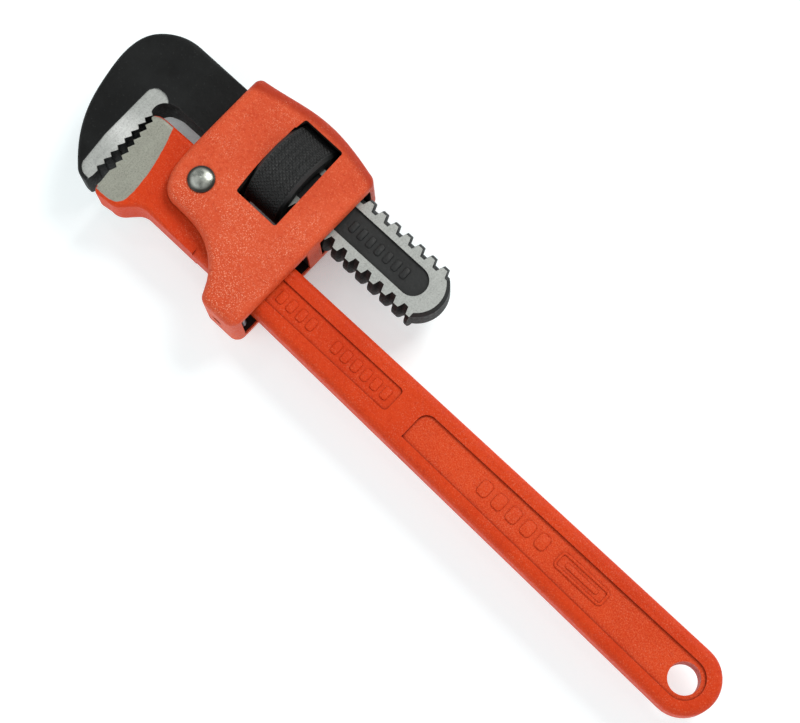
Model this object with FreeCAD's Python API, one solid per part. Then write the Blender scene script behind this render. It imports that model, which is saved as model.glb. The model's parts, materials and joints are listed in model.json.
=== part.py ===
import FreeCAD, Part
import math
import os

# Adjustable pipe wrench (Stillson pattern) lying on its side.
# Drawing axes: X runs from the jaws to the hanging hole, Y from the handle to the
# threaded shank, Z is the thickness; the pivot rivet stands at X = Y = 0 and the
# middle plane of the tool is Z = 0. The last step moves everything so that the
# origin is the middle of the underside of the whole tool.

V = FreeCAD.Vector

# ---- overall sizes (mm) ----
FRAME_T = 26.5          # thickness of the housing
FRAME_X0 = -11.0        # front edge of the housing
FRAME_X1 = 43.0         # rear edge of the housing
FRAME_BACK = -29.8      # outside of the spring loop
FRAME_EDGE_R = 2.9      # rounding of the housing's outline edges
LOOP_WALL = 4.2         # back wall of the spring loop
LOOP_R = 3.6            # rounding of the loop's outer corner

HANDLE_T = 14.6         # thickness of the grip
HEEL_T = 16.4           # thickness of the handle's head
HANDLE_END_X = 228.4    # centre of the rounded end
HANDLE_END_Y = -11.7
HANDLE_END_R = 12.2     # radius of the rounded end
HANDLE_TOP = 0.5        # top edge of the grip
HANDLE_NECK_BOTTOM = -19.7
HANDLE_EDGE_R = 3.0
HANG_R = 5.5            # hanging hole radius
HANG_DX = -0.2          # hole centre from the centre of the rounded end
HANG_DY = -0.3
GRIP_POCKET = 1.0       # depth of the long grip recess
POCKET_RING = 1.7       # recess floor left around the hanging hole
PANEL_POCKET = 0.7      # depth of the short panel near the housing

PIN_R = 3.6             # pivot rivet shank
PIN_HEAD_R = 4.65
PIN_HEAD_H = 1.9

AXIS_Y = 24.2           # height of the screw axis
THREAD_R = 11.8         # crest radius of the shank thread
ROOT_R = 9.8            # root radius of the shank thread
PITCH = 5.6
CREST_W = 2.0           # flat on the thread's crest
FLANK = 0.44            # axial run of a flank for each mm of height
CREST_X = 78.9          # a crest on the +Y side passes here
SHANK_T = 12.4          # thickness across the ground flats
TAIL_X = 87.0           # rear end of the shank
TAIL_R = 11.3
TAIL_CHAMFER = 1.2
THREAD_X0 = -6.5        # thread starts just inside the housing
NECK_T = 15.2           # thickness of the plain neck
NECK_LOW_IN = 1.0       # plain neck inside the thread's crests, handle side
NECK_TOP_IN = 1.9       # the same on the crown side
HEAD_T = 17.0           # thickness of the hook
CHANNEL_HALF = 5.4      # sunk channel along both ground faces
CHANNEL_END = 79.6
CHANNEL_POCKET = 0.8

TOOTH_PITCH = 3.3
TOOTH_DEPTH = 1.3
HOOK_TEETH_X = -29.2    # crest line of the hook's teeth
HOOK_TEETH_Y = 5.5      # first crest
HOOK_TEETH_N = 9
HEEL_TEETH_Y = 4.7
HEEL_TEETH_N = 8
HEEL_LEAN = 6.6         # degrees between the two tooth lines
JAW_GAP = 0.35          # tooth to tooth at the closed inner end

NUT_R = 16.5            # stands proud of both faces of the housing
NUT_L = 15.6
NUT_X = 10.6            # front face of the nut
CROWN_WALL = 2.4        # housing wall above the nut
WINDOW_X0 = 11.1
WINDOW_X1 = 28.4
WINDOW_Y0 = AXIS_Y - 19.1
WINDOW_Y1 = AXIS_Y + 14.7
NUT_ROOM = 9.4          # half depth of the square room inside the window
WINDOW_BOW = 1.0

LEAF_T = 0.8            # spring strip
LEAF_W = 9.0
SPRING_RIVET_X = FRAME_X1 - 8.5
SPRING_RIVET_R = 1.55
SPRING_RIVET_FOOT_R = 2.02
JAW_RIVET_X = 2.5
JAW_RIVET_R = 1.25
SPRING_POCKET = 1.5     # depth of the jaw spring's pocket

# ---- clearances (mm) ----
SLIDE_C = 0.4           # shank flats and crests to the housing
HANDLE_C = 0.4          # handle cheeks to the housing
NUT_C = 0.3             # nut to the housing
THREAD_C = 0.15         # shank thread to nut thread
PIN_C = 0.06            # pivot rivet in its bores (radial)
RIVET_C = 0.05          # spring rivets in their bores (radial)

FRAME_TOP = AXIS_Y + NUT_R + NUT_C + CROWN_WALL

THREAD_H = THREAD_R - ROOT_R
BIG = 400.0


def pt(x, y, z=0.0):
    return V(x, y, z)


def loop(start, steps):
    # A closed flat wire. A step is (x, y) for a straight run, ((x, y), (x, y)) for
    # an arc through the first point, or a list of points for one smooth curve.
    edges = []
    here = start
    for step in steps:
        if isinstance(step, list):
            pts = [pt(*here)]
            for q in step:
                pts.append(pt(*q))
            curve = Part.BSplineCurve()
            curve.interpolate(pts)
            edges.append(curve.toShape())
            here = step[-1]
        elif isinstance(step[0], tuple):
            mid, end = step
            edges.append(Part.Arc(pt(*here), pt(*mid), pt(*end)).toShape())
            here = end
        else:
            edges.append(Part.makeLine(pt(*here), pt(*step)))
            here = step
    if math.hypot(here[0] - start[0], here[1] - start[1]) > 1e-6:
        edges.append(Part.makeLine(pt(*here), pt(*start)))
    return Part.Wire(edges)


def prism(wire, z0, z1):
    face = Part.Face(wire)
    face.translate(pt(0, 0, z0))
    solid = face.extrude(pt(0, 0, z1 - z0))
    return solid


def plate(wire, thick):
    return prism(wire, -thick / 2, thick / 2)


def block(x0, x1, y0, y1, z0, z1):
    return Part.makeBox(x1 - x0, y1 - y0, z1 - z0, pt(x0, y0, z0))


def rounded_box_wire(x0, x1, y0, y1, r):
    k = r * (1 - math.sqrt(0.5))
    return loop((x0 + r, y0), [
        (x1 - r, y0), ((x1 - k, y0 + k), (x1, y0 + r)),
        (x1, y1 - r), ((x1 - k, y1 - k), (x1 - r, y1)),
        (x0 + r, y1), ((x0 + k, y1 - k), (x0, y1 - r)),
        (x0, y0 + r), ((x0 + k, y0 + k), (x0 + r, y0))])


def rim_edges(solid, z, skip=None):
    # Outline edges that lie flat at height z, apart from those skip() names.
    out = []
    for e in solid.Edges:
        b = e.BoundBox
        if abs(b.ZMin - z) < 1e-4 and abs(b.ZMax - z) < 1e-4:
            m = e.valueAt((e.FirstParameter + e.LastParameter) / 2)
            if skip is None or not skip(m):
                out.append(e)
    return out


def soften(solid, half, r, skip=None):
    edges = rim_edges(solid, half, skip) + rim_edges(solid, -half, skip)
    return solid.makeFillet(r, edges)


def screw(x0, x1, extra):
    # A right-handed threaded rod from x0 to x1, every surface moved out by `extra`.
    # A crest on the +Y side passes CREST_X, and the next ones are PITCH apart.
    r0 = ROOT_R + extra
    r1 = THREAD_R + extra
    tip = CREST_W + 2 * extra
    foot = tip + 2 * FLANK * THREAD_H
    under = 0.2
    turns = math.ceil((x1 - x0) / PITCH) + 3
    first = CREST_X - PITCH * (math.ceil((CREST_X - x0) / PITCH) + 1)
    helix = Part.makeHelix(PITCH, turns * PITCH, r0)
    half = foot / 2 + FLANK * under
    a = pt(r0 - under, 0, -half)
    b = pt(r1, 0, -tip / 2)
    c = pt(r1, 0, tip / 2)
    d = pt(r0 - under, 0, half)
    profile = Part.makePolygon([a, b, c, d, a])
    ridge = Part.Wire(helix).makePipeShell([profile], True, True)
    # the helix axis becomes the screw axis and its start faces +Y
    turn = FreeCAD.Matrix(0, 0, 1, first, 1, 0, 0, AXIS_Y, 0, 1, 0, 0, 0, 0, 0, 1)
    ridge.Placement = FreeCAD.Placement(turn)
    if ridge.Volume < 0:
        ridge.reverse()
    ridge = ridge.common(block(x0, x1, AXIS_Y - 30, AXIS_Y + 30, -30, 30))
    return rod(r0, x0, x1).fuse(ridge)


def rod(r, x0, x1):
    return Part.makeCylinder(r, x1 - x0, pt(x0, AXIS_Y, 0), V(1, 0, 0))


def tooth_cutters(top, count, lean, sign, steep_up):
    # Saw-tooth notches along a line that starts at `top` and runs towards -Y.
    # sign is the side that the metal is on (-1: towards -X).
    cutters = []
    for i in range(count):
        y = -i * TOOTH_PITCH
        if steep_up:
            pts = [(0, y), (sign * TOOTH_DEPTH, y - TOOTH_PITCH + 0.9), (0, y - TOOTH_PITCH)]
        else:
            pts = [(0, y), (sign * TOOTH_DEPTH, y - 0.9), (0, y - TOOTH_PITCH)]
        far = -sign * 3.0
        wire = loop((far, y), pts + [(far, y - TOOTH_PITCH)])
        cutters.append(prism(wire, -20, 20))
    tool = cutters[0].multiFuse(cutters[1:])
    tool.rotate(pt(0, 0), pt(0, 0, 1), lean)
    tool.translate(pt(top[0], top[1]))
    return tool


def make_frame():
    # Housing: one casting with a through window for the nut, a passage for the
    # shank, a slot for the handle and a closed loop behind the handle.
    f0, f1, top, back = FRAME_X0, FRAME_X1, FRAME_TOP, FRAME_BACK
    outline = loop((f0, 6.0), [
        (f0, top - 6.6), ((f0 + 0.8, top - 4.7), (f0 + 2.7, top - 3.8)),
        [(1.0, top - 2.2), (14.0, top - 0.15), (19.5, top), (30.0, top - 1.1), (f1 - 3.4, top - 3.2)],
        ((f1 - 0.9, top - 4.4), (f1, top - 6.4)),
        (f1, back + LOOP_R), ((f1 - 0.293 * LOOP_R, back + 0.293 * LOOP_R), (f1 - LOOP_R, back)),
        (f1 - 12.4, back), ((f1 - 14.7, back + 0.7), (f1 - 16.1, back + 2.6)),
        (f1 - 17.7, back + 5.8),
        [(22.0, -19.6), (16.0, -15.0), (11.0, -13.0), (5.0, -12.1), (-1.0, -11.9)],
        [(f0 + 5.0, -10.5), (f0 + 1.8, -6.0), (f0 + 0.4, 0.0), (f0, 6.0)]])
    body = plate(outline, FRAME_T)
    body = soften(body, FRAME_T / 2, FRAME_EDGE_R)
    # window through both sides
    x0, x1, y0, y1 = WINDOW_X0, WINDOW_X1, WINDOW_Y0, WINDOW_Y1
    window = loop((x0 + 1, y0), [
        (x1 - 0.2, y0), ((x1 + 0.6, y0 + 0.3), (x1 + 0.8, y0 + 1.2)),
        (x1, y1 - 1.2), ((x1 - 0.3, y1 - 0.3), (x1 - 1.2, y1)),
        (x0 + 1, y1), ((x0 + 0.3, y1 - 0.3), (x0, y1 - 1)),
        ((x0 - WINDOW_BOW, AXIS_Y + 1), (x0, y0 + 1)), ((x0 + 0.3, y0 + 0.3), (x0 + 1, y0))])
    body = body.cut(plate(window, BIG))
    # room for the nut between the cheeks
    r = NUT_R + NUT_C
    room = NUT_X - NUT_C
    body = body.cut(block(room, x1, AXIS_Y - r, AXIS_Y + r, -NUT_ROOM, NUT_ROOM))
    body = body.cut(rod(r, room, x1))
    # passage for the shank, front to back
    p = NECK_T / 2 + SLIDE_C
    low = AXIS_Y - THREAD_R - SLIDE_C
    high = AXIS_Y + THREAD_R + SLIDE_C
    body = body.cut(block(FRAME_X0 - 5, FRAME_X1 + 5, low, high, -p, p))
    # pocket above the shank for the flat spring
    w = LEAF_W / 2 + 0.4
    body = body.cut(block(-7.5, 9.0, high - 0.1, high + SPRING_POCKET, -w, w))
    # slot for the handle, closed behind by the loop's back wall
    s = max(HEEL_T, HANDLE_T) / 2 + HANDLE_C
    slot = loop((f0 - 5, 9.0), [
        (8.0, 9.0), (14.0, 6.0), (f1 + 5, 6.0), (f1 + 5, back + LOOP_WALL),
        (f1 - 16.0, back + LOOP_WALL), (f1 - 23.0, back - 5), (f0 - 5, back - 5)])
    body = body.cut(prism(slot, -s, s))
    # rivet bores
    body = body.cut(Part.makeCylinder(PIN_R + PIN_C, BIG, pt(0, 0, -BIG / 2)))
    bore = SPRING_RIVET_R + RIVET_C
    body = body.cut(Part.makeCylinder(bore, 10, pt(SPRING_RIVET_X, back - 2, 0), V(0, 1, 0)))
    bore = SPRING_RIVET_FOOT_R + RIVET_C
    body = body.cut(Part.makeCylinder(bore, 3.3, pt(SPRING_RIVET_X, back - 2, 0), V(0, 1, 0)))
    bore = JAW_RIVET_R + RIVET_C
    body = body.cut(Part.makeCylinder(bore, 10, pt(JAW_RIVET_X, high, 0), V(0, 1, 0)))
    return body


def make_handle():
    # Forged handle with the heel jaw in one piece.
    ey, er = HANDLE_END_Y, HANDLE_END_R
    x_end = HANDLE_END_X
    outline = loop((-28.85, 5.2), [
        (-28.4, 6.5), ((-26.4, 7.4), (-24.0, 7.7)), (-8.0, 8.0), (4.5, 8.0), ((7.4, 7.2), (9.8, 5.2)),
        (12.5, 2.4), ((15.8, 0.8), (20.0, 0.3)), (x_end, ey + er),
        ((x_end + er, ey), (x_end, ey - er)), (30.0, HANDLE_NECK_BOTTOM - 0.2),
        (-6.5, HANDLE_NECK_BOTTOM), ((-9.6, -20.1), (-12.2, -22.0)), (-14.4, -24.3),
        ((-16.6, -25.9), (-19.7, -26.3)), (-23.6, -26.9), ((-25.2, -26.4), (-25.9, -25.0)),
        (-25.65, -22.8)])
    body = plate(outline, HEEL_T)

    def teeth_side(m):
        return m.x < -25.0
    body = soften(body, HEEL_T / 2, 1.8, teeth_side)
    # the head's cheeks step down to the thinner grip
    h, g = HEEL_T / 2, HANDLE_T / 2
    r0, r1 = -5.4, 9.3
    for side in (1, -1):
        wedge = Part.Wire([
            Part.makeLine(pt(r0, -60, side * h), pt(r1, -60, side * g)),
            Part.makeLine(pt(r1, -60, side * g), pt(BIG, -60, side * g)),
            Part.makeLine(pt(BIG, -60, side * g), pt(BIG, -60, side * (h + 5))),
            Part.makeLine(pt(BIG, -60, side * (h + 5)), pt(r0, -60, side * (h + 5))),
            Part.makeLine(pt(r0, -60, side * (h + 5)), pt(r0, -60, side * h))])
        body = body.cut(Part.Face(wedge).extrude(pt(0, 120, 0)))
    body = body.cut(tooth_cutters(heel_top(), HEEL_TEETH_N - 1, HEEL_LEAN, 1, False))
    # rounded edges of the grip
    bead = grip_shell()
    body = body.common(bead)
    # recesses on both faces
    for side in (1, -1):
        z0 = side * (HANDLE_T / 2 - GRIP_POCKET)
        body = body.cut(prism(grip_pocket_wire(), min(z0, side * BIG), max(z0, side * BIG)))
        z1 = side * (HANDLE_T / 2 - PANEL_POCKET)
        panel = rounded_box_wire(30.0, 98.0, -14.6, -5.2, 1.6)
        body = body.cut(prism(panel, min(z1, side * BIG), max(z1, side * BIG)))
    body = body.cut(Part.makeCylinder(PIN_R + PIN_C, BIG, pt(0, 0, -BIG / 2)))
    hx, hy = hang_centre()
    body = body.cut(Part.makeCylinder(HANG_R, BIG, pt(hx, hy, -BIG / 2)))
    return body


def heel_top():
    return (HOOK_TEETH_X + JAW_GAP, HEEL_TEETH_Y)


def grip_shell():
    # The grip's outline from the neck on, with its long edges well rounded; the
    # head in front of it stays as it is.
    ey, er = HANDLE_END_Y, HANDLE_END_R
    outline = loop((12.0, 8.0), [
        (16.0, ey + er), (HANDLE_END_X, ey + er), ((HANDLE_END_X + er, ey), (HANDLE_END_X, ey - er)),
        (30.0, HANDLE_NECK_BOTTOM - 0.2), (12.0, HANDLE_NECK_BOTTOM - 0.1)])
    shell = plate(outline, HANDLE_T)

    def front(m):
        return m.x < 18.0 and m.y > HANDLE_NECK_BOTTOM + 0.5
    shell = soften(shell, HANDLE_T / 2, HANDLE_EDGE_R, front)
    head = block(-60, 14.0, -60, 60, -20, 20)
    return shell.fuse(head)


def hang_centre():
    return (HANDLE_END_X + HANG_DX, HANDLE_END_Y + HANG_DY)


def grip_pocket_wire():
    # Long recess; its rounded end is concentric with the hanging hole.
    x0, y1, y0 = 107.6, -4.9, -16.9
    xc, yc = hang_centre()
    r = HANG_R + POCKET_RING
    c = 4.0
    return loop((x0, y0), [
        (xc, yc - r), ((xc + r, yc), (xc, yc + r)), (x0 + c, y1),
        ((x0 + c * 0.293, y1 - c * 0.293), (x0, y1 - c))])


def make_hook_jaw():
    # Hook, plain neck and threaded flat-sided shank in one forging.
    tx = HOOK_TEETH_X
    tip = HOOK_TEETH_Y - (HOOK_TEETH_N - 1) * TOOTH_PITCH
    neck_top = AXIS_Y + THREAD_R - NECK_TOP_IN
    neck_low = AXIS_Y - THREAD_R + NECK_LOW_IN
    outline = loop((tx - TOOTH_DEPTH, 6.6), [
        ((-30.2, 10.0), (-28.0, 12.2)), ((-25.6, 13.1), (-23.0, neck_low)), (4.0, neck_low),
        (4.0, neck_top), (-34.0, neck_top - 0.2),
        [(-39.8, 33.0), (-45.9, 29.8), (-50.2, 25.0), (-52.0, 19.5), (-52.2, 13.0),
         (-51.1, 5.5), (-48.6, -4.5), (-43.8, -14.5), (-38.4, -21.4), (-35.3, -24.5)],
        ((-33.6, -25.7), (-31.6, -26.2)), (tx - 0.7, -26.2), (tx, tip - 2.2),
        (tx, HOOK_TEETH_Y), (tx - TOOTH_DEPTH, HOOK_TEETH_Y + 0.9)])
    body = plate(outline, HEAD_T)

    def plain(m):
        return m.x > tx - 2.5 and m.y < 14.0 or m.x > 3.9
    body = soften(body, HEAD_T / 2, 1.8, plain)
    # the neck is thinner than the hook
    h, n = HEAD_T / 2, NECK_T / 2
    a = -27.0
    b = FRAME_X0 - 0.5
    for side in (1, -1):
        wedge = Part.makePolygon([
            pt(a, -60, side * h), pt(b, -60, side * n), pt(60, -60, side * n),
            pt(60, -60, side * (h + 5)), pt(a, -60, side * (h + 5)), pt(a, -60, side * h)])
        body = body.cut(Part.Face(wedge).extrude(pt(0, 120, 0)))
    body = body.cut(block(THREAD_X0, 60, -60, 60, -20, 20))
    # ground strip beside the teeth, sunk a little on both faces
    strip = loop((tx + 2, -24.9), [
        (-31.2, -24.9), ((-34.2, -23.4), (-35.1, -21.8)), (-36.3, -10.0), (-36.4, 10.0), ((-35.2, 12.9), (-32.4, 13.8)),
        ((-30.2, 13.6), (-28.1, 12.2)), (tx + 2, 8)])
    for side in (1, -1):
        z = side * (HEAD_T / 2 - 0.5)
        body = body.cut(prism(strip, min(z, side * BIG), max(z, side * BIG)))
    body = body.cut(tooth_cutters((tx, HOOK_TEETH_Y), HOOK_TEETH_N - 1, 0, -1, True))
    body = body.fuse(make_shank())
    return body.removeSplitter()


def make_shank():
    x1 = TAIL_X
    core = screw(THREAD_X0, x1, 0.0)
    # flat faces, then a round chamfered end
    cx = x1 - TAIL_R
    c = TAIL_CHAMFER
    half = SHANK_T / 2
    disc = Part.makeCylinder(TAIL_R, SHANK_T - 2 * c, pt(cx, AXIS_Y, c - half))
    disc = disc.fuse(Part.makeCone(TAIL_R, TAIL_R - c, c, pt(cx, AXIS_Y, half - c)))
    disc = disc.fuse(Part.makeCone(TAIL_R - c, TAIL_R, c, pt(cx, AXIS_Y, -half)))
    disc.rotate(pt(cx, AXIS_Y), V(0, 0, 1), 180)
    wide = AXIS_Y + THREAD_R + 1
    bar = block(THREAD_X0, x1 - 5.2, AXIS_Y - THREAD_R - 1, wide, -half, half)
    core = core.common(bar.fuse(disc))
    channel_x0 = THREAD_X0 - 20
    r = CHANNEL_HALF
    channel = loop((channel_x0, AXIS_Y - r), [
        (CHANNEL_END - r, AXIS_Y - r), ((CHANNEL_END, AXIS_Y), (CHANNEL_END - r, AXIS_Y + r)),
        (channel_x0, AXIS_Y + r)])
    for side in (1, -1):
        z = side * (SHANK_T / 2 - CHANNEL_POCKET)
        core = core.cut(prism(channel, min(z, side * 20), max(z, side * 20)))
    return core


def make_nut():
    x0 = NUT_X
    x1 = x0 + NUT_L
    blank = rod(NUT_R, x0, x1)
    ends = [e for e in blank.Edges if e.Curve.TypeId == "Part::GeomCircle"]
    blank = blank.makeChamfer(1.0, ends)
    return blank.cut(screw(x0 - 2, x1 + 2, THREAD_C))


def make_pin():
    half = FRAME_T / 2
    body = Part.makeCylinder(PIN_R, FRAME_T + 0.1, pt(0, 0, -half - 0.05))
    for side in (1, -1):
        # dome: a cap of a sphere on a short cylinder
        h, r = PIN_HEAD_H - 0.5, PIN_HEAD_R
        rs = (r * r + h * h) / (2 * h)
        base = side * (half + 0.02)
        rim = Part.makeCylinder(r, 0.5, pt(0, 0, base), V(0, 0, side))
        ball = Part.makeSphere(rs, pt(0, 0, base + side * (0.5 + h - rs)))
        cap = ball.common(Part.makeCylinder(r, h + 0.5, pt(0, 0, base + side * 0.4), V(0, 0, side)))
        body = body.fuse(rim).fuse(cap)
    return body.removeSplitter()


def strip(points, t, w):
    # A bent strip: the centre line as straight runs, thickness t, width w across Z.
    left, right = [], []
    n = len(points)
    for i, (x, y) in enumerate(points):
        a = points[max(i - 1, 0)]
        b = points[min(i + 1, n - 1)]
        dx, dy = b[0] - a[0], b[1] - a[1]
        s = math.hypot(dx, dy)
        left.append((x - dy / s * t / 2, y + dx / s * t / 2))
        right.append((x + dy / s * t / 2, y - dx / s * t / 2))
    wire = loop(left[0], [left[1:], right[-1], right[-2::-1]])
    return prism(wire, -w / 2, w / 2)


def make_handle_spring():
    # Folded leaf: flat foot on the loop's back wall, blade up to the handle.
    y0 = FRAME_BACK + LOOP_WALL + 0.05 + LEAF_T / 2
    y1 = HANDLE_NECK_BOTTOM - 0.3 - LEAF_T / 2 - 0.15
    x = SPRING_RIVET_X
    h = y1 - y0
    foot = [(x - 4.5, y0), (x - 0.5, y0), (x + 3.5, y0), (x + 5.7, y0 + 0.043 * h),
            (x + 6.8, y0 + 0.257 * h), (x + 6.1, y0 + 0.463 * h), (x + 3.9, y0 + 0.583 * h),
            (x, y1 - 0.06 * h), (x - 2.5, y1), (x - 4.5, y1 - 0.043 * h)]
    body = strip(foot, LEAF_T, LEAF_W)
    bore = SPRING_RIVET_R + 2 * RIVET_C
    hole = Part.makeCylinder(bore, 4, pt(SPRING_RIVET_X, y0 - 2, 0), V(0, 1, 0))
    return body.cut(hole)


def make_handle_spring_rivet():
    x, back, r = SPRING_RIVET_X, FRAME_BACK, SPRING_RIVET_R
    y_in = back + LOOP_WALL + LEAF_T
    shank = Part.makeCylinder(r, LOOP_WALL - 0.6 + LEAF_T, pt(x, back + 1.0, 0), V(0, 1, 0))
    head = Part.makeCone(r + 1.05, r + 0.35, 0.9, pt(x, y_in + 0.1, 0), V(0, 1, 0))
    foot = Part.makeCylinder(SPRING_RIVET_FOOT_R, 0.5, pt(x, back + 0.78, 0), V(0, 1, 0))
    return shank.fuse(head).fuse(foot).removeSplitter()


def make_jaw_spring():
    # Flat leaf in the pocket above the shank, pressing on the thread crests.
    top = AXIS_Y + THREAD_R + SLIDE_C + SPRING_POCKET - 0.1 - LEAF_T / 2 - 0.02
    low = AXIS_Y + THREAD_R + 0.12 + LEAF_T / 2
    line = [(8.6, top), (5.0, top), (1.0, top), (-2.5, (top + low) / 2), (-5.2, low), (-7.0, low + 0.3)]
    body = strip(line[::-1], LEAF_T, LEAF_W)
    hole = Part.makeCylinder(JAW_RIVET_R + 2 * RIVET_C, 4, pt(JAW_RIVET_X, top - 2, 0), V(0, 1, 0))
    return body.cut(hole)


def make_jaw_spring_rivet():
    y0 = AXIS_Y + THREAD_R + SLIDE_C + SPRING_POCKET - 0.1 - LEAF_T
    head = Part.makeCylinder(JAW_RIVET_R + 0.95, 0.45, pt(JAW_RIVET_X, y0 - 0.6, 0), V(0, 1, 0))
    shank = Part.makeCylinder(JAW_RIVET_R, 3.2, pt(JAW_RIVET_X, y0 - 0.2, 0), V(0, 1, 0))
    return shank.fuse(head).removeSplitter()


NODES = {
    "handle": make_handle,
    "frame": make_frame,
    "hook_jaw": make_hook_jaw,
    "adjusting_nut": make_nut,
    "frame_pin": make_pin,
    "handle_spring": make_handle_spring,
    "handle_spring_rivet": make_handle_spring_rivet,
    "jaw_spring": make_jaw_spring,
    "jaw_spring_rivet": make_jaw_spring_rivet,
}


def main():
    os.makedirs("parts", exist_ok=True)
    shapes = {}
    for name, make in NODES.items():
        shapes[name] = make().Solids[0]
    box = FreeCAD.BoundBox()
    for shape in shapes.values():
        box.add(shape.optimalBoundingBox())
    shift = pt(-(box.XMin + box.XMax) / 2, -(box.YMin + box.YMax) / 2, -box.ZMin)
    for name, shape in shapes.items():
        shape.translate(shift)
        shape.exportStep("parts/" + name + ".step")
    print("pivot axis at", shift.x, shift.y, "middle plane at", shift.z)


main()
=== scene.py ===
import bpy
import bmesh
import json
import math
from mathutils import Matrix, Vector


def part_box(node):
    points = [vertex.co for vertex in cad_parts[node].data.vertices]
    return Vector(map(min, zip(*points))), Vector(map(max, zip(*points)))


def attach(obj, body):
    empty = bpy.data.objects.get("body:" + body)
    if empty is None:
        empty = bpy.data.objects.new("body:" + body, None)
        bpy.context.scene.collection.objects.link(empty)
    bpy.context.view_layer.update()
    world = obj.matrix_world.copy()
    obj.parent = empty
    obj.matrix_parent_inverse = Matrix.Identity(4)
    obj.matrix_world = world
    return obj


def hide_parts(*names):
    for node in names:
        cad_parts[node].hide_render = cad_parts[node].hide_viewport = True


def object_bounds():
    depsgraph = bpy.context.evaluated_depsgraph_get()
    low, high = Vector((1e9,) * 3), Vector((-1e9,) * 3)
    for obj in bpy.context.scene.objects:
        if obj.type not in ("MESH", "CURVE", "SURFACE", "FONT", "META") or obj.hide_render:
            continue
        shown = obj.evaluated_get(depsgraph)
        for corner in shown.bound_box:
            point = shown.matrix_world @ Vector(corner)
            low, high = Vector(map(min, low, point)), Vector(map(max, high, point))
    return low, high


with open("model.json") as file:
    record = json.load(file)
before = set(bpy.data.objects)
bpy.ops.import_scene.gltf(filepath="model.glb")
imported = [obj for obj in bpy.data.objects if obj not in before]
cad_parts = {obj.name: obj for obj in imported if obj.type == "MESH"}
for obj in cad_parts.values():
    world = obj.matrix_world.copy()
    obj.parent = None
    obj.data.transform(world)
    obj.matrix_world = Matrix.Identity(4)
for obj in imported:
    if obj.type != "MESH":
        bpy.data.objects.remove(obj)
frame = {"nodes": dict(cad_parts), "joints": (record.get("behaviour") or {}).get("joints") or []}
cad_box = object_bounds()
nodes = frame["nodes"]
MM = 0.001

# Sizes of the solids that the masks and the added pieces follow, in mm. They are
# the part's own; a change there needs the same change here.
HOUSING_FACE = 13.25            # flat face of the housing, from the middle plane
STRIP_FACE = 8.0                # ground strip beside the hook's teeth
GRIP_FACE = 7.3                 # flat face of the handle's grip
SHANK_FACE = 6.2                # ground flats of the shank
PANEL_POCKET = 0.7              # short recess near the housing
GRIP_POCKET = 1.0               # long recess of the grip
CHANNEL_POCKET = 0.8            # channel along the shank
SCREW_Y = 24.2                  # screw axis above the pivot
CROWN_X, CROWN_Y = 19.5, 43.4   # highest point of the housing's outline
CREST_R, ROOT_R = 11.8, 9.8     # the screw on the shank, at its crest and root
PITCH, CREST_W = 5.6, 2.0
FLANK = 0.44                    # how far a flank runs along X for each mm of depth
CREST_X = 78.9                  # middle of one crest, on the +Y side of the screw
NUT_CHAMFER = 1.0
THREAD_C = 0.15                 # clearance between the nut's thread and the screw's

# ------------------------------------------------------------------ placement
joints = {j["name"]: j for j in frame["joints"]}
PIVOT = Vector(joints["frame_rock"]["pos_m"])
SCREW = Vector(joints["nut_spin"]["pos_m"])
(NX0, NY0, NZ0), (NX1, NY1, NZ1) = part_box("adjusting_nut")


def at(x, y, z=0.0):
    # millimetres from the pivot axis and the middle plane -> metres in the frame
    return Vector((PIVOT.x + x * MM, PIVOT.y + y * MM, PIVOT.z + z * MM))


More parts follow.
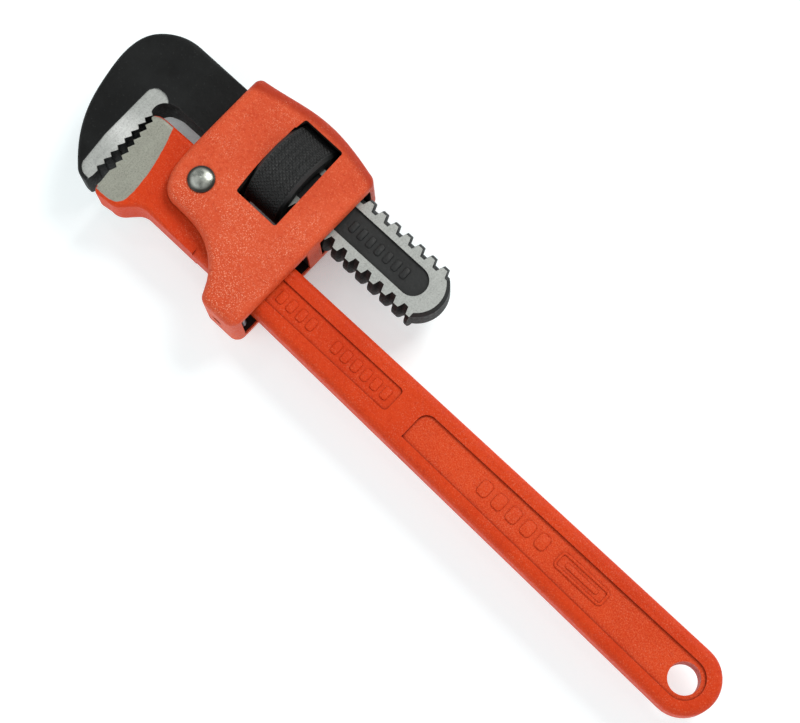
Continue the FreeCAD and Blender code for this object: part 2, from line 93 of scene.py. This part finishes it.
# ------------------------------------------------------------------ shader help
class Net:
    """A small wrapper that adds and joins shader nodes."""

    def __init__(self, name):
        self.mat = bpy.data.materials.new(name)
        self.mat.use_nodes = True
        self.t = self.mat.node_tree
        self.t.nodes.clear()
        self.out = self.t.nodes.new("ShaderNodeOutputMaterial")
        self.coord = self.t.nodes.new("ShaderNodeTexCoord").outputs["Object"]
        sep = self.t.nodes.new("ShaderNodeSeparateXYZ")
        self.t.links.new(self.coord, sep.inputs[0])
        self.x, self.y, self.z = sep.outputs
        geo = self.t.nodes.new("ShaderNodeNewGeometry")
        nsep = self.t.nodes.new("ShaderNodeSeparateXYZ")
        tocoord = self.t.nodes.new("ShaderNodeVectorTransform")
        tocoord.vector_type = "NORMAL"
        tocoord.convert_from = "WORLD"
        tocoord.convert_to = "OBJECT"
        self.t.links.new(geo.outputs["True Normal"], tocoord.inputs[0])
        self.t.links.new(tocoord.outputs[0], nsep.inputs[0])
        self.nz = nsep.outputs["Z"]

    def put(self, socket, value):
        if isinstance(value, bpy.types.NodeSocket):
            self.t.links.new(value, socket)
        else:
            socket.default_value = value

    def math(self, op, a, b=0.0, c=0.0):
        n = self.t.nodes.new("ShaderNodeMath")
        n.operation = op
        for s, v in zip(n.inputs, (a, b, c)):
            self.put(s, v)
        return n.outputs[0]

    def times(self, a, b):
        return self.math("MULTIPLY", a, b)

    def ramp(self, v, lo, hi, out0=0.0, out1=1.0):
        n = self.t.nodes.new("ShaderNodeMapRange")
        n.interpolation_type = "SMOOTHSTEP"
        n.clamp = True
        values = {"Value": v, "From Min": lo, "From Max": hi, "To Min": out0, "To Max": out1}
        for key, val in values.items():
            self.put(n.inputs[key], val)
        return n.outputs[0]

    def between(self, v, lo, hi, soft):
        a = self.ramp(v, lo - soft, lo + soft)
        b = self.ramp(v, hi - soft, hi + soft, 1.0, 0.0)
        return self.times(a, b)

    def noise(self, scale, detail=2.0, rough=0.5, stretch=(1, 1, 1), offset=(0, 0, 0)):
        m = self.t.nodes.new("ShaderNodeMapping")
        m.inputs["Scale"].default_value = stretch
        m.inputs["Location"].default_value = offset
        self.t.links.new(self.coord, m.inputs["Vector"])
        n = self.t.nodes.new("ShaderNodeTexNoise")
        self.t.links.new(m.outputs[0], n.inputs["Vector"])
        n.inputs["Scale"].default_value = scale
        n.inputs["Detail"].default_value = detail
        n.inputs["Roughness"].default_value = rough
        return n.outputs["Fac"]

    def cells(self, scale, offset=(0, 0, 0)):
        m = self.t.nodes.new("ShaderNodeMapping")
        m.inputs["Location"].default_value = offset
        self.t.links.new(self.coord, m.inputs["Vector"])
        n = self.t.nodes.new("ShaderNodeTexVoronoi")
        n.feature = "F1"
        n.inputs["Scale"].default_value = scale
        self.t.links.new(m.outputs[0], n.inputs["Vector"])
        return n.outputs["Distance"]

    def mix(self, fac, a, b):
        n = self.t.nodes.new("ShaderNodeMix")
        n.data_type = "RGBA"
        n.blend_type = "MIX"
        self.put(n.inputs["Factor"], fac)
        ins = [s for s in n.inputs if s.type == "RGBA"]
        self.put(ins[0], a if isinstance(a, bpy.types.NodeSocket) else (*a, 1.0))
        self.put(ins[1], b if isinstance(b, bpy.types.NodeSocket) else (*b, 1.0))
        return [s for s in n.outputs if s.type == "RGBA"][0]

    def bump(self, height, dist, strength):
        n = self.t.nodes.new("ShaderNodeBump")
        n.inputs["Distance"].default_value = dist
        n.inputs["Strength"].default_value = strength
        self.put(n.inputs["Height"], height)
        return n.outputs[0]

    def edges(self, radius):
        # 0 on open faces, towards 1 on sharp edges
        b = self.t.nodes.new("ShaderNodeBevel")
        b.samples = 6
        b.inputs["Radius"].default_value = radius
        g = self.t.nodes.new("ShaderNodeNewGeometry")
        d = self.t.nodes.new("ShaderNodeVectorMath")
        d.operation = "DOT_PRODUCT"
        self.t.links.new(b.outputs[0], d.inputs[0])
        self.t.links.new(g.outputs["Normal"], d.inputs[1])
        return self.ramp(d.outputs["Value"], 0.97, 0.80)

    def open_sky(self, distance, samples=6):
        # 1 on open faces, towards 0 in creases and corners
        n = self.t.nodes.new("ShaderNodeAmbientOcclusion")
        n.samples = samples
        n.inputs["Distance"].default_value = distance
        return n.outputs["AO"]

    def surface(self, color, rough, metal=0.0, normal=None, spec=0.5):
        p = self.t.nodes.new("ShaderNodeBsdfPrincipled")
        self.put(p.inputs["Base Color"], color if isinstance(color, bpy.types.NodeSocket) else (*color, 1.0))
        self.put(p.inputs["Roughness"], rough)
        self.put(p.inputs["Metallic"], metal)
        p.inputs["Specular IOR Level"].default_value = spec
        if normal is not None:
            self.t.links.new(normal, p.inputs["Normal"])
        return p.outputs[0]

    def finish(self, shader):
        self.t.links.new(shader, self.out.inputs["Surface"])
        return self.mat

    def blend(self, fac, a, b):
        n = self.t.nodes.new("ShaderNodeMixShader")
        self.put(n.inputs[0], fac)
        self.t.links.new(a, n.inputs[1])
        self.t.links.new(b, n.inputs[2])
        return n.outputs[0]


# ------------------------------------------------------------------ materials
def shade(color, factor):
    return tuple(v * factor for v in color)


def paint(n, base, deep, light, grain, painted_glint, spec, sunk=None, more=None, edge=None):
    # Enamel over a forging or casting: orange-peel skin, deeper in its hollows where it pools,
    # with painted glints (painted highlights) on the grains and painted shade in its creases.
    # Three optional masks: sunk is paler, more adds to the painted glints' density, and edge takes a deeper
    # painted shade.
    peel = n.noise(760, 3.0, 0.6)
    fine = n.noise(2100, 2.0, 0.6, offset=(3, 1, 2))
    broad = n.noise(40, 3.0, 0.5, offset=(7, 3, 5))
    height = n.math("MULTIPLY_ADD", peel, grain, n.times(fine, 0.45 * grain))
    height = n.math("MULTIPLY_ADD", broad, 0.8, height)
    normal = n.bump(height, 0.00017, 0.9)
    c = n.mix(n.ramp(broad, 0.35, 0.72, 0.0, 0.45), base, deep)
    c = n.mix(n.times(n.ramp(fine, 0.54, 0.72), 0.40), c, light)
    c = n.mix(n.times(n.ramp(peel, 0.48, 0.32), 0.45), c, deep)
    # painted shade: deeper colour along a rounded edge, where the edge mask is given
    if edge is not None:
        c = n.mix(edge, c, shade(deep, 0.80))
    where = n.noise(120, 3.0, 0.65, offset=(5, 5, 1))
    if more is not None:
        where = n.math("ADD", where, more)
    up = n.ramp(n.math("ABSOLUTE", n.nz), 0.5, 0.95)
    near = n.times(n.ramp(where, 0.36, 0.66), up)
    # painted glints: pale spots on faces turned up, standing in for highlights on the grains
    for size, seed, weight in ((1150, (1, 4, 2), 0.62), (2000, (6, 2, 8), 0.9)):
        glint = n.cells(size, offset=seed)
        spots = n.times(n.ramp(glint, 0.34, 0.12), near)
        c = n.mix(n.times(spots, painted_glint * weight), c, (0.96, 0.50, 0.32))
    if sunk is not None:
        c = n.mix(n.times(sunk, n.ramp(fine, 0.35, 0.62, 0.0, 0.30)), c, light)
    # painted shade: darker in creases and corners, by ambient occlusion
    crease_shade = n.ramp(n.open_sky(0.0013, 8), 0.86, 0.42)
    c = n.mix(n.times(crease_shade, 0.85), c, shade(deep, 0.28))
    rough = n.ramp(peel, 0.3, 0.7, 0.42, 0.58)
    return n.surface(c, rough, 0.0, normal, spec=spec)


def oxide_surface(n, tint=1.0, spec=0.40):
    # Black oxide over a forging: dull, faintly scaled, greyer on worn edges, with painted shade in its
    # creases.
    broad = n.noise(60, 4.0, 0.6)
    fine = n.noise(1100, 3.0, 0.6, offset=(2, 2, 2))
    scale = n.cells(480, offset=(5, 1, 3))
    height = n.math("ADD", n.times(fine, 0.6), n.times(n.ramp(scale, 0.0, 0.5), 0.30))
    height = n.math("MULTIPLY_ADD", broad, 0.8, height)
    normal = n.bump(height, 0.00016, 0.9)
    dark = shade((0.0095, 0.0105, 0.0105), tint)
    pale = shade((0.019, 0.021, 0.021), tint)
    c = n.mix(n.ramp(broad, 0.35, 0.7), dark, pale)
    c = n.mix(n.times(n.ramp(fine, 0.60, 0.78), 0.35), c, (0.050, 0.054, 0.053))
    c = n.mix(n.times(n.edges(0.0005), 0.30), c, (0.075, 0.08, 0.08))
    # painted shade: near black in creases and corners, by ambient occlusion
    c = n.mix(n.times(n.ramp(n.open_sky(0.0012), 0.86, 0.45), 0.80), c, (0.003, 0.003, 0.003))
    rough = n.ramp(fine, 0.3, 0.7, 0.46, 0.62)
    return n.surface(c, rough, 0.0, normal, spec=spec)


def ground_surface(n, tone=(0.40, 0.42, 0.40)):
    # Surface-ground steel: faint parallel lay under a fine grey grain, cloudy.
    lay = n.noise(1500, 2.0, 0.6, stretch=(1.0, 0.04, 1.0))
    cloud = n.noise(170, 3.0, 0.55, offset=(8, 2, 6))
    grain = n.noise(1500, 3.0, 0.65, offset=(3, 7, 2))
    grit = n.noise(2300, 3.0, 0.6, offset=(1, 2, 9))
    height = n.math("ADD", n.times(lay, 0.25), n.times(grain, 0.8))
    normal = n.bump(height, 0.00005, 0.7)
    c = n.mix(n.ramp(lay, 0.35, 0.65), shade(tone, 0.94), shade(tone, 1.04))
    c = n.mix(n.times(n.ramp(grain, 0.42, 0.62), 0.55), c, shade(tone, 1.22))
    c = n.mix(n.times(n.ramp(cloud, 0.5, 0.72), 0.25), c, shade(tone, 0.72))
    c = n.mix(n.times(n.ramp(grit, 0.47, 0.30), 0.55), c, shade(tone, 0.42))
    rough = n.ramp(cloud, 0.3, 0.7, 0.36, 0.50)
    return n.surface(c, rough, 0.45, normal, spec=0.5)


def inside_dark(n):
    # Dull, near-black inside faces of the casting, cloudy in tone.
    cloud = n.noise(220, 4.0, 0.6)
    fine = n.noise(1200, 3.0, 0.6)
    c = n.mix(n.ramp(cloud, 0.35, 0.7), (0.008, 0.007, 0.007), (0.022, 0.017, 0.015))
    return n.surface(c, n.ramp(fine, 0.3, 0.7, 0.55, 0.75), 0.0, n.bump(fine, 0.0001, 0.7), spec=0.25)


def local(n):
    # millimetres from the pivot axis and the middle plane
    out = []
    for s, v in ((n.x, PIVOT.x), (n.y, PIVOT.y), (n.z, PIVOT.z)):
        out.append(n.times(n.math("SUBTRACT", s, v), 1000.0))
    return out


def heel_mask(n):
    # Ground face of the heel jaw: in front of a slightly bowed line and above the
    # heel's foot, with a wide round corner between them.
    dx, dy = local(n)[:2]
    t = n.math("ADD", dy, 21.0)
    edge = n.math("MULTIPLY_ADD", n.times(t, t), -0.0075, -15.0)
    front = n.math("SUBTRACT", edge, dx)
    low = n.math("ADD", dy, 25.6)
    both = n.math("SMOOTH_MIN", front, low, 9.0)
    wavy = n.times(n.math("SUBTRACT", n.noise(500, 2.0, 0.5), 0.5), 0.5)
    m = n.ramp(n.math("ADD", both, wavy), -0.08, 0.12)
    flat = n.ramp(n.math("ABSOLUTE", n.nz), 0.55, 0.80)
    return n.times(m, n.times(flat, n.ramp(dx, -14.0, -14.4)))


def jaw_mask(n):
    # Ground faces of the hook jaw: the strip beside the teeth and the shank flats.
    dx, dy, dz = local(n)
    az = n.math("ABSOLUTE", dz)
    flat = n.ramp(n.math("ABSOLUTE", n.nz), 0.92, 0.97)
    strip = n.between(az, STRIP_FACE - 0.1, STRIP_FACE + 0.1, 0.05)
    strip = n.times(strip, n.ramp(dx, -26.3, -26.9))
    shank = n.between(az, SHANK_FACE - 0.1, SHANK_FACE + 0.1, 0.05)
    shank = n.times(shank, n.ramp(dx, -10.0, -9.0))
    return n.times(flat, n.math("MAXIMUM", strip, shank))


def box_mask(n, d, lo, hi, soft=0.05):
    # 1 inside the box between two corners, in millimetres from the pivot
    m = n.between(d[0], lo[0], hi[0], soft)
    m = n.times(m, n.between(d[1], lo[1], hi[1], soft))
    return n.times(m, n.between(d[2], lo[2], hi[2], soft))


def housing_mask(n):
    # Inside faces of the housing: window walls, nut room, passage and slot. Each box
    # covers one opening; the window's stops a little under the outer faces.
    d = local(n)
    side = n.ramp(n.math("ABSOLUTE", n.nz), 0.75, 0.55)
    deep = HOUSING_FACE - 0.3
    window = n.times(side, box_mask(n, d, (9.8, 4.8, -deep), (29.5, 39.3, deep), 0.12))
    room = box_mask(n, d, (10.0, 7.3, -9.5), (28.5, 41.1, 9.5))
    passage = box_mask(n, d, (-10.6, 11.8, -8.1), (42.6, 38.1, 8.1), 0.1)
    slot = box_mask(n, d, (-10.6, -25.7, -8.7), (42.4, 9.1, 8.7), 0.1)
    return n.math("MAXIMUM", n.math("MAXIMUM", window, room), n.math("MAXIMUM", passage, slot))


def handle_material():
    n = Net("handle_enamel")
    d = local(n)
    below = GRIP_FACE - 0.35
    recess = box_mask(n, d, (106.0, -20.0, -below), (236.0, -4.0, below), 0.1)
    base, deep, light = (0.60, 0.047, 0.007), (0.48, 0.026, 0.003), (0.76, 0.14, 0.05)
    enamel = paint(n, base, deep, light, 1.8, 0.18, 0.12, sunk=recess)
    flanks = n.ramp(n.math("ABSOLUTE", n.nz), 0.5, 0.3)
    teeth = n.times(n.ramp(d[0], -24.6, -25.0), flanks)
    metal = n.blend(teeth, ground_surface(n, (0.30, 0.31, 0.26)), oxide_surface(n, 1.0, 0.3))
    return n.finish(n.blend(n.math("MAXIMUM", heel_mask(n), teeth), enamel, metal))


def housing_material():
    # painted shade deepens the paint along the crown's rounded edge, and the painted glints are densest low
    # down
    n = Net("housing_enamel")
    d = local(n)
    along = n.math("SUBTRACT", d[0], CROWN_X)
    bow = n.math("MULTIPLY_ADD", n.times(along, along), 0.0062, n.math("SUBTRACT", d[1], CROWN_Y))
    # painted shade along the crown's rounded edge
    crown_shade = n.ramp(bow, -5.0, -2.2)
    lower = n.ramp(d[1], 20.0, -14.0, -0.12, 0.08)
    base, deep, light = (0.64, 0.083, 0.026), (0.49, 0.036, 0.006), (0.88, 0.27, 0.13)
    enamel = paint(n, base, deep, light, 2.5, 0.66, 0.20, more=lower, edge=crown_shade)
    return n.finish(n.blend(housing_mask(n), enamel, inside_dark(n)))


def jaw_material():
    # duller oxide on the hook than on the shank's channel; the strip beside the teeth
    # carries a painted highlight, paler in the middle
    n = Net("jaw_oxide_and_ground")
    dx, dy = local(n)[:2]
    rear = n.times(n.ramp(dx, -8.0, 20.0), n.ramp(n.math("ABSOLUTE", n.nz), 0.3, 0.9))
    oxide = n.blend(rear, oxide_surface(n, 0.55, 0.14), oxide_surface(n, 0.9, 0.34))
    # painted highlight: a paler copy of the ground steel in the middle of the strip
    strip_highlight = n.times(n.between(dy, -9.0, -1.0, 6.0), n.ramp(dx, -28.0, -30.0))
    steel = n.blend(strip_highlight, ground_surface(n), ground_surface(n, (0.62, 0.64, 0.62)))
    return n.finish(n.blend(jaw_mask(n), oxide, steel))


def nut_material():
    n = Net("nut_oxide")
    return n.finish(oxide_surface(n, 0.9))


def rivet_material():
    # Formed rivet head: hammered, paler over the crown, dark round the rim.
    n = Net("rivet_steel_dark_rim")
    dx, dy = local(n)[:2]
    r = n.math("SQRT", n.math("ADD", n.times(dx, dx), n.times(dy, dy)))
    cloud = n.noise(420, 4.0, 0.6)
    fine = n.noise(1400, 3.0, 0.6, offset=(1, 5, 2))
    rim = n.ramp(n.math("ADD", r, n.times(cloud, 1.2)), 3.5, 4.8)
    c = n.mix(n.ramp(cloud, 0.35, 0.7), (0.26, 0.28, 0.25), (0.50, 0.52, 0.47))
    c = n.mix(rim, c, (0.035, 0.035, 0.03))
    height = n.math("ADD", n.times(fine, 0.4), n.times(cloud, 1.0))
    return n.finish(n.surface(c, n.ramp(cloud, 0.3, 0.7, 0.24, 0.40), 0.75, n.bump(height, 0.0001, 0.6)))


def spring_material():
    n = Net("spring_steel_blued")
    cloud = n.noise(300, 3.0, 0.6)
    lay = n.noise(2200, 2.0, 0.6, stretch=(1, 1, 0.05))
    c = n.mix(n.ramp(cloud, 0.35, 0.7), (0.10, 0.11, 0.14), (0.20, 0.21, 0.23))
    return n.finish(n.surface(c, n.ramp(lay, 0.3, 0.7, 0.26, 0.42), 0.85, n.bump(lay, 0.00003, 0.6)))


def small_rivet_material():
    n = Net("small_rivet_steel")
    cloud = n.noise(500, 3.0, 0.6)
    c = n.mix(n.ramp(cloud, 0.35, 0.7), (0.05, 0.045, 0.04), (0.13, 0.12, 0.11))
    return n.finish(n.surface(c, n.ramp(cloud, 0.3, 0.7, 0.38, 0.55), 0.8, n.bump(cloud, 0.00006, 0.6)))


def dress(node, mat):
    ob = nodes[node]
    ob.data.materials.clear()
    ob.data.materials.append(mat)


HANDLE_MAT = handle_material()
FRAME_MAT = housing_material()
JAW_MAT = jaw_material()
NUT_MAT = nut_material()
dress("handle", HANDLE_MAT)
dress("frame", FRAME_MAT)
dress("hook_jaw", JAW_MAT)
dress("adjusting_nut", NUT_MAT)
dress("frame_pin", rivet_material())
SPRING = spring_material()
SMALL = small_rivet_material()
for name in ("handle_spring", "jaw_spring"):
    dress(name, SPRING)
for name in ("handle_spring_rivet", "jaw_spring_rivet"):
    dress(name, SMALL)


# ------------------------------------------------------------------ added pieces
def mesh_piece(name, bm, mat, body, smooth=False):
    me = bpy.data.meshes.new(name)
    bm.normal_update()
    bm.to_mesh(me)
    bm.free()
    for poly in me.polygons:
        poly.use_smooth = smooth
    me.materials.append(mat)
    ob = bpy.data.objects.new(name, me)
    bpy.context.scene.collection.objects.link(ob)
    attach(ob, body)
    return ob


def thread_radius(x, turn):
    # Radius of the screw's surface at x (mm from the pivot) and turn (radians from +Y).
    p = (x - CREST_X - PITCH * turn / (2 * math.pi)) % PITCH
    p = min(p, PITCH - p) - CREST_W / 2
    if p <= 0:
        return CREST_R
    return max(ROOT_R, CREST_R - p / FLANK)


def knurled_nut():
    # The CAD nut's ring with its true thread, and a diamond knurl cut round it.
    around, per = 62, 7         # diamonds round the nut, and points across each
    steps = around * per
    r_out = (NY1 - NY0) / 2 / MM
    x0, x1 = (NX0 - PIVOT.x) / MM, (NX1 - PIVOT.x) / MM
    ax_y, ax_z = (SCREW.y - PIVOT.y) / MM, (SCREW.z - PIVOT.z) / MM
    cell = 2 * math.pi * r_out / around
    chamfer = NUT_CHAMFER
    depth, gap = 0.50, 0.42     # groove depth (mm) and half width (share of a diamond)
    rows, bore_rows = 62, 44

    def knurl(x, a):
        # two crossing families of shallow V grooves leave flat-topped diamonds
        u = a * r_out / cell
        v = (x - x0) / cell
        d = min(abs((u + v) % 1 - 0.5), abs((u - v) % 1 - 0.5))
        lead = min(1.0, (x - x0 - chamfer) / 0.5, (x1 - chamfer - x) / 0.5)
        return r_out - 0.02 - depth * max(0.0, 1 - d / gap) * max(0.0, lead)

    rings = []

    def ring(x, radius):
        vs = []
        for k in range(steps):
            a = 2 * math.pi * k / steps
            r = radius(x, a) if callable(radius) else radius
            vs.append(bm.verts.new(at(x, ax_y + r * math.cos(a), ax_z + r * math.sin(a))))
        rings.append(vs)

    bm = bmesh.new()
    ring(x0, r_out - chamfer)
    ring(x0 + 0.12, r_out - chamfer + 0.10)
    for i in range(rows + 1):
        ring(x0 + chamfer + (x1 - x0 - 2 * chamfer) * i / rows, knurl)
    ring(x1 - 0.12, r_out - chamfer + 0.10)
    ring(x1, r_out - chamfer)
    for i in range(bore_rows + 1):
        x = x1 + (x0 - x1) * i / bore_rows
        ring(x, lambda x, a: thread_radius(x, a) + THREAD_C)
    count = len(rings)
    for i in range(count):
        a, b = rings[i], rings[(i + 1) % count]
        for k in range(steps):
            m = (k + 1) % steps
            bm.faces.new((a[k], a[m], b[m], b[k]))
    bmesh.ops.recalc_face_normals(bm, faces=bm.faces)
    ob = mesh_piece("knurled_nut", bm, NUT_MAT, "nut")
    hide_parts("adjusting_nut")
    return ob


knurled_nut()


def pad(bm, cx, cy, w, h, r, z, rise, face, ring=0.0):
    # A low raised pad with round corners and sloping sides, or, where ring isn't 0,
    # a raised outline of that width. Its foot is sunk into the surface at z.
    def outline(shrink, level):
        vs = []
        rr = max(0.05, r - shrink)
        for qx, qy, start in ((1, 1, 0), (-1, 1, 90), (-1, -1, 180), (1, -1, 270)):
            for k in range(5):
                a = math.radians(start + 22.5 * k)
                x = cx + qx * (w / 2 - r) + rr * math.cos(a)
                y = cy + qy * (h / 2 - r) + rr * math.sin(a)
                vs.append(bm.verts.new(at(x, y, face * level)))
        return vs

    # the slope from the foot to the top: (how far in, how high)
    slope = ((0.0, z - 0.15), (0.08, z + rise * 0.45), (0.30, z + rise - 0.04), (0.42, z + rise))
    loops = [outline(shrink, level) for shrink, level in slope]
    if ring:
        loops += [outline(ring - shrink, level) for shrink, level in reversed(slope)]
    for a, b in zip(loops, loops[1:]):
        for k in range(len(a)):
            m = (k + 1) % len(a)
            bm.faces.new((a[k], a[m], b[m], b[k]))
    if not ring:
        bm.faces.new(loops[-1])


def handle_marks():
    # Plain raised pads where the forging carries its raised marks.
    bm = bmesh.new()
    panel, floor = GRIP_FACE - PANEL_POCKET, GRIP_FACE - GRIP_POCKET
    for face in (1, -1):
        for start, count in ((46.5, 4), (71.5, 6)):
            for i in range(count):
                pad(bm, start + 4.5 * i, -9.9, 3.0, 4.6, 0.9, panel, 0.50, face)
        for i in range(5):
            pad(bm, 139.5 + 6.4 * i, -10.8, 4.4, 5.6, 1.4, floor, 0.60, face)
        pad(bm, 182.5, -10.9, 21.0, 6.4, 1.7, floor, 0.60, face, ring=1.1)
        pad(bm, 182.5, -10.9, 14.0, 1.9, 0.8, floor, 0.50, face)
    bmesh.ops.recalc_face_normals(bm, faces=bm.faces)
    ob = mesh_piece("handle_raised_pads", bm, HANDLE_MAT, "handle_body", smooth=True)
    return ob


def shank_marks():
    bm = bmesh.new()
    floor = SHANK_FACE - CHANNEL_POCKET
    for face in (1, -1):
        for i in range(7):
            pad(bm, 47.0 + 3.9 * i, SCREW_Y, 2.5, 4.4, 0.8, floor, 0.45, face)
    bmesh.ops.recalc_face_normals(bm, faces=bm.faces)
    ob = mesh_piece("shank_raised_pads", bm, JAW_MAT, "hook", smooth=True)
    return ob


handle_marks()
shank_marks()


# ------------------------------------------------------------------ stage
def stage_material():
    # White sheet with a painted glow of its own, so its shadows stay light and grey; the glow
    # is dimmed by ambient occlusion where the tool covers the sheet closely, a painted contact shadow.
    n = Net("stage_white")
    soft = n.noise(3.0, 2.0, 0.5)
    c = n.mix(n.ramp(soft, 0.3, 0.7), (0.555, 0.610, 0.618), (0.575, 0.630, 0.638))
    sheet = n.surface(c, 0.9, 0.0, None, spec=0.05)
    glow = n.t.nodes.new("ShaderNodeEmission")
    glow.inputs["Color"].default_value = (0.955, 1.0, 1.01, 1.0)
    # painted glow, cut back near the tool as a painted contact shadow
    n.put(glow.inputs["Strength"], n.ramp(n.open_sky(0.030, 12), 0.04, 0.30, 0.03, 0.54))
    add = n.t.nodes.new("ShaderNodeAddShader")
    n.t.links.new(sheet, add.inputs[0])
    n.t.links.new(glow.outputs[0], add.inputs[1])
    return n.finish(add.outputs[0])


def make_floor():
    bm = bmesh.new()
    s = 6.0
    v = [bm.verts.new((x, y, 0.0)) for x, y in ((-s, -s), (s, -s), (s, s), (-s, s))]
    bm.faces.new(v)
    me = bpy.data.meshes.new("floor")
    bm.to_mesh(me)
    bm.free()
    ob = bpy.data.objects.new("floor", me)
    bpy.context.scene.collection.objects.link(ob)
    me.materials.append(stage_material())
    ob.location.z = cad_box[0][2] - 0.0002
    return ob


make_floor()


# ------------------------------------------------------------------ camera
TURN = math.radians(43.35)      # the handle runs down to the right in the view
ROLL = math.radians(-6.658)
EYE = (216.0, -105.0, 808.7)    # mm from the pivot, nearly straight above
AIM = (88.973, 1.988)           # the point on the middle plane it looks at
LENS = 111.367
right = Vector((math.cos(TURN), math.sin(TURN), 0.0))
ahead = Vector((-math.sin(TURN), math.cos(TURN), 0.0))
eye = at(*EYE)
look = (at(*AIM) - eye).normalized()
level = look.cross(Vector((0, 0, 1))).normalized()
side = Matrix.Rotation(ROLL, 3, -look) @ level
cam_data = bpy.data.cameras.new("camera")
cam_data.sensor_width = 36.0
cam_data.sensor_fit = "HORIZONTAL"
cam_data.lens = LENS
cam_data.clip_start = 0.01
cam_data.clip_end = 20.0
cam = bpy.data.objects.new("camera", cam_data)
bpy.context.scene.collection.objects.link(cam)
rot = Matrix((side, side.cross(look), -look)).transposed()
cam.matrix_world = Matrix.Translation(eye) @ rot.to_4x4()
bpy.context.scene.camera = cam


# ------------------------------------------------------------------ light
def area(name, place, target, size, power, color=(1, 1, 1)):
    data = bpy.data.lights.new(name, "AREA")
    data.shape = "RECTANGLE"
    data.size, data.size_y = size
    data.energy = power
    data.color = color
    ob = bpy.data.objects.new(name, data)
    bpy.context.scene.collection.objects.link(ob)
    ob.location = place
    ob.rotation_euler = (Vector(target) - Vector(place)).to_track_quat("-Z", "Y").to_euler()
    return ob


mid = at(60, 5, 0)
UP = Vector((0, 0, 1))
area("key_light", mid + right * 0.62 + ahead * 0.55 + UP * 0.95, mid, (0.5, 0.5), 10.4, (1.0, 0.985, 0.96))
area("fill_light", mid - right * 0.85 - ahead * 0.25 + UP * 0.80, mid, (1.0, 1.0), 3.2, (0.96, 0.98, 1.0))
area("low_light", mid - ahead * 1.1 + right * 0.2 + UP * 0.55, mid, (0.9, 0.6), 3.0)
area("lamp", at(-330, 115, 960), at(-20, 5), (0.10, 0.10), 0.40)


def studio_world():
    # bright round the horizon, darker overhead, as in a light tent with a lens hole
    world = bpy.data.worlds.new("studio")
    bpy.context.scene.world = world
    world.use_nodes = True
    t = world.node_tree
    bg = t.nodes["Background"]
    coord = t.nodes.new("ShaderNodeTexCoord")
    sep = t.nodes.new("ShaderNodeSeparateXYZ")
    ramp = t.nodes.new("ShaderNodeMapRange")
    ramp.interpolation_type = "SMOOTHSTEP"
    ramp.inputs["From Min"].default_value = 0.25
    ramp.inputs["From Max"].default_value = 0.95
    ramp.inputs["To Min"].default_value = 0.85
    ramp.inputs["To Max"].default_value = 0.22
    t.links.new(coord.outputs["Generated"], sep.inputs[0])
    t.links.new(sep.outputs["Z"], ramp.inputs["Value"])
    t.links.new(ramp.outputs["Result"], bg.inputs["Strength"])
    bg.inputs["Color"].default_value = (1.0, 1.0, 1.0, 1.0)


studio_world()
bpy.context.scene.view_settings.view_transform = "Standard"
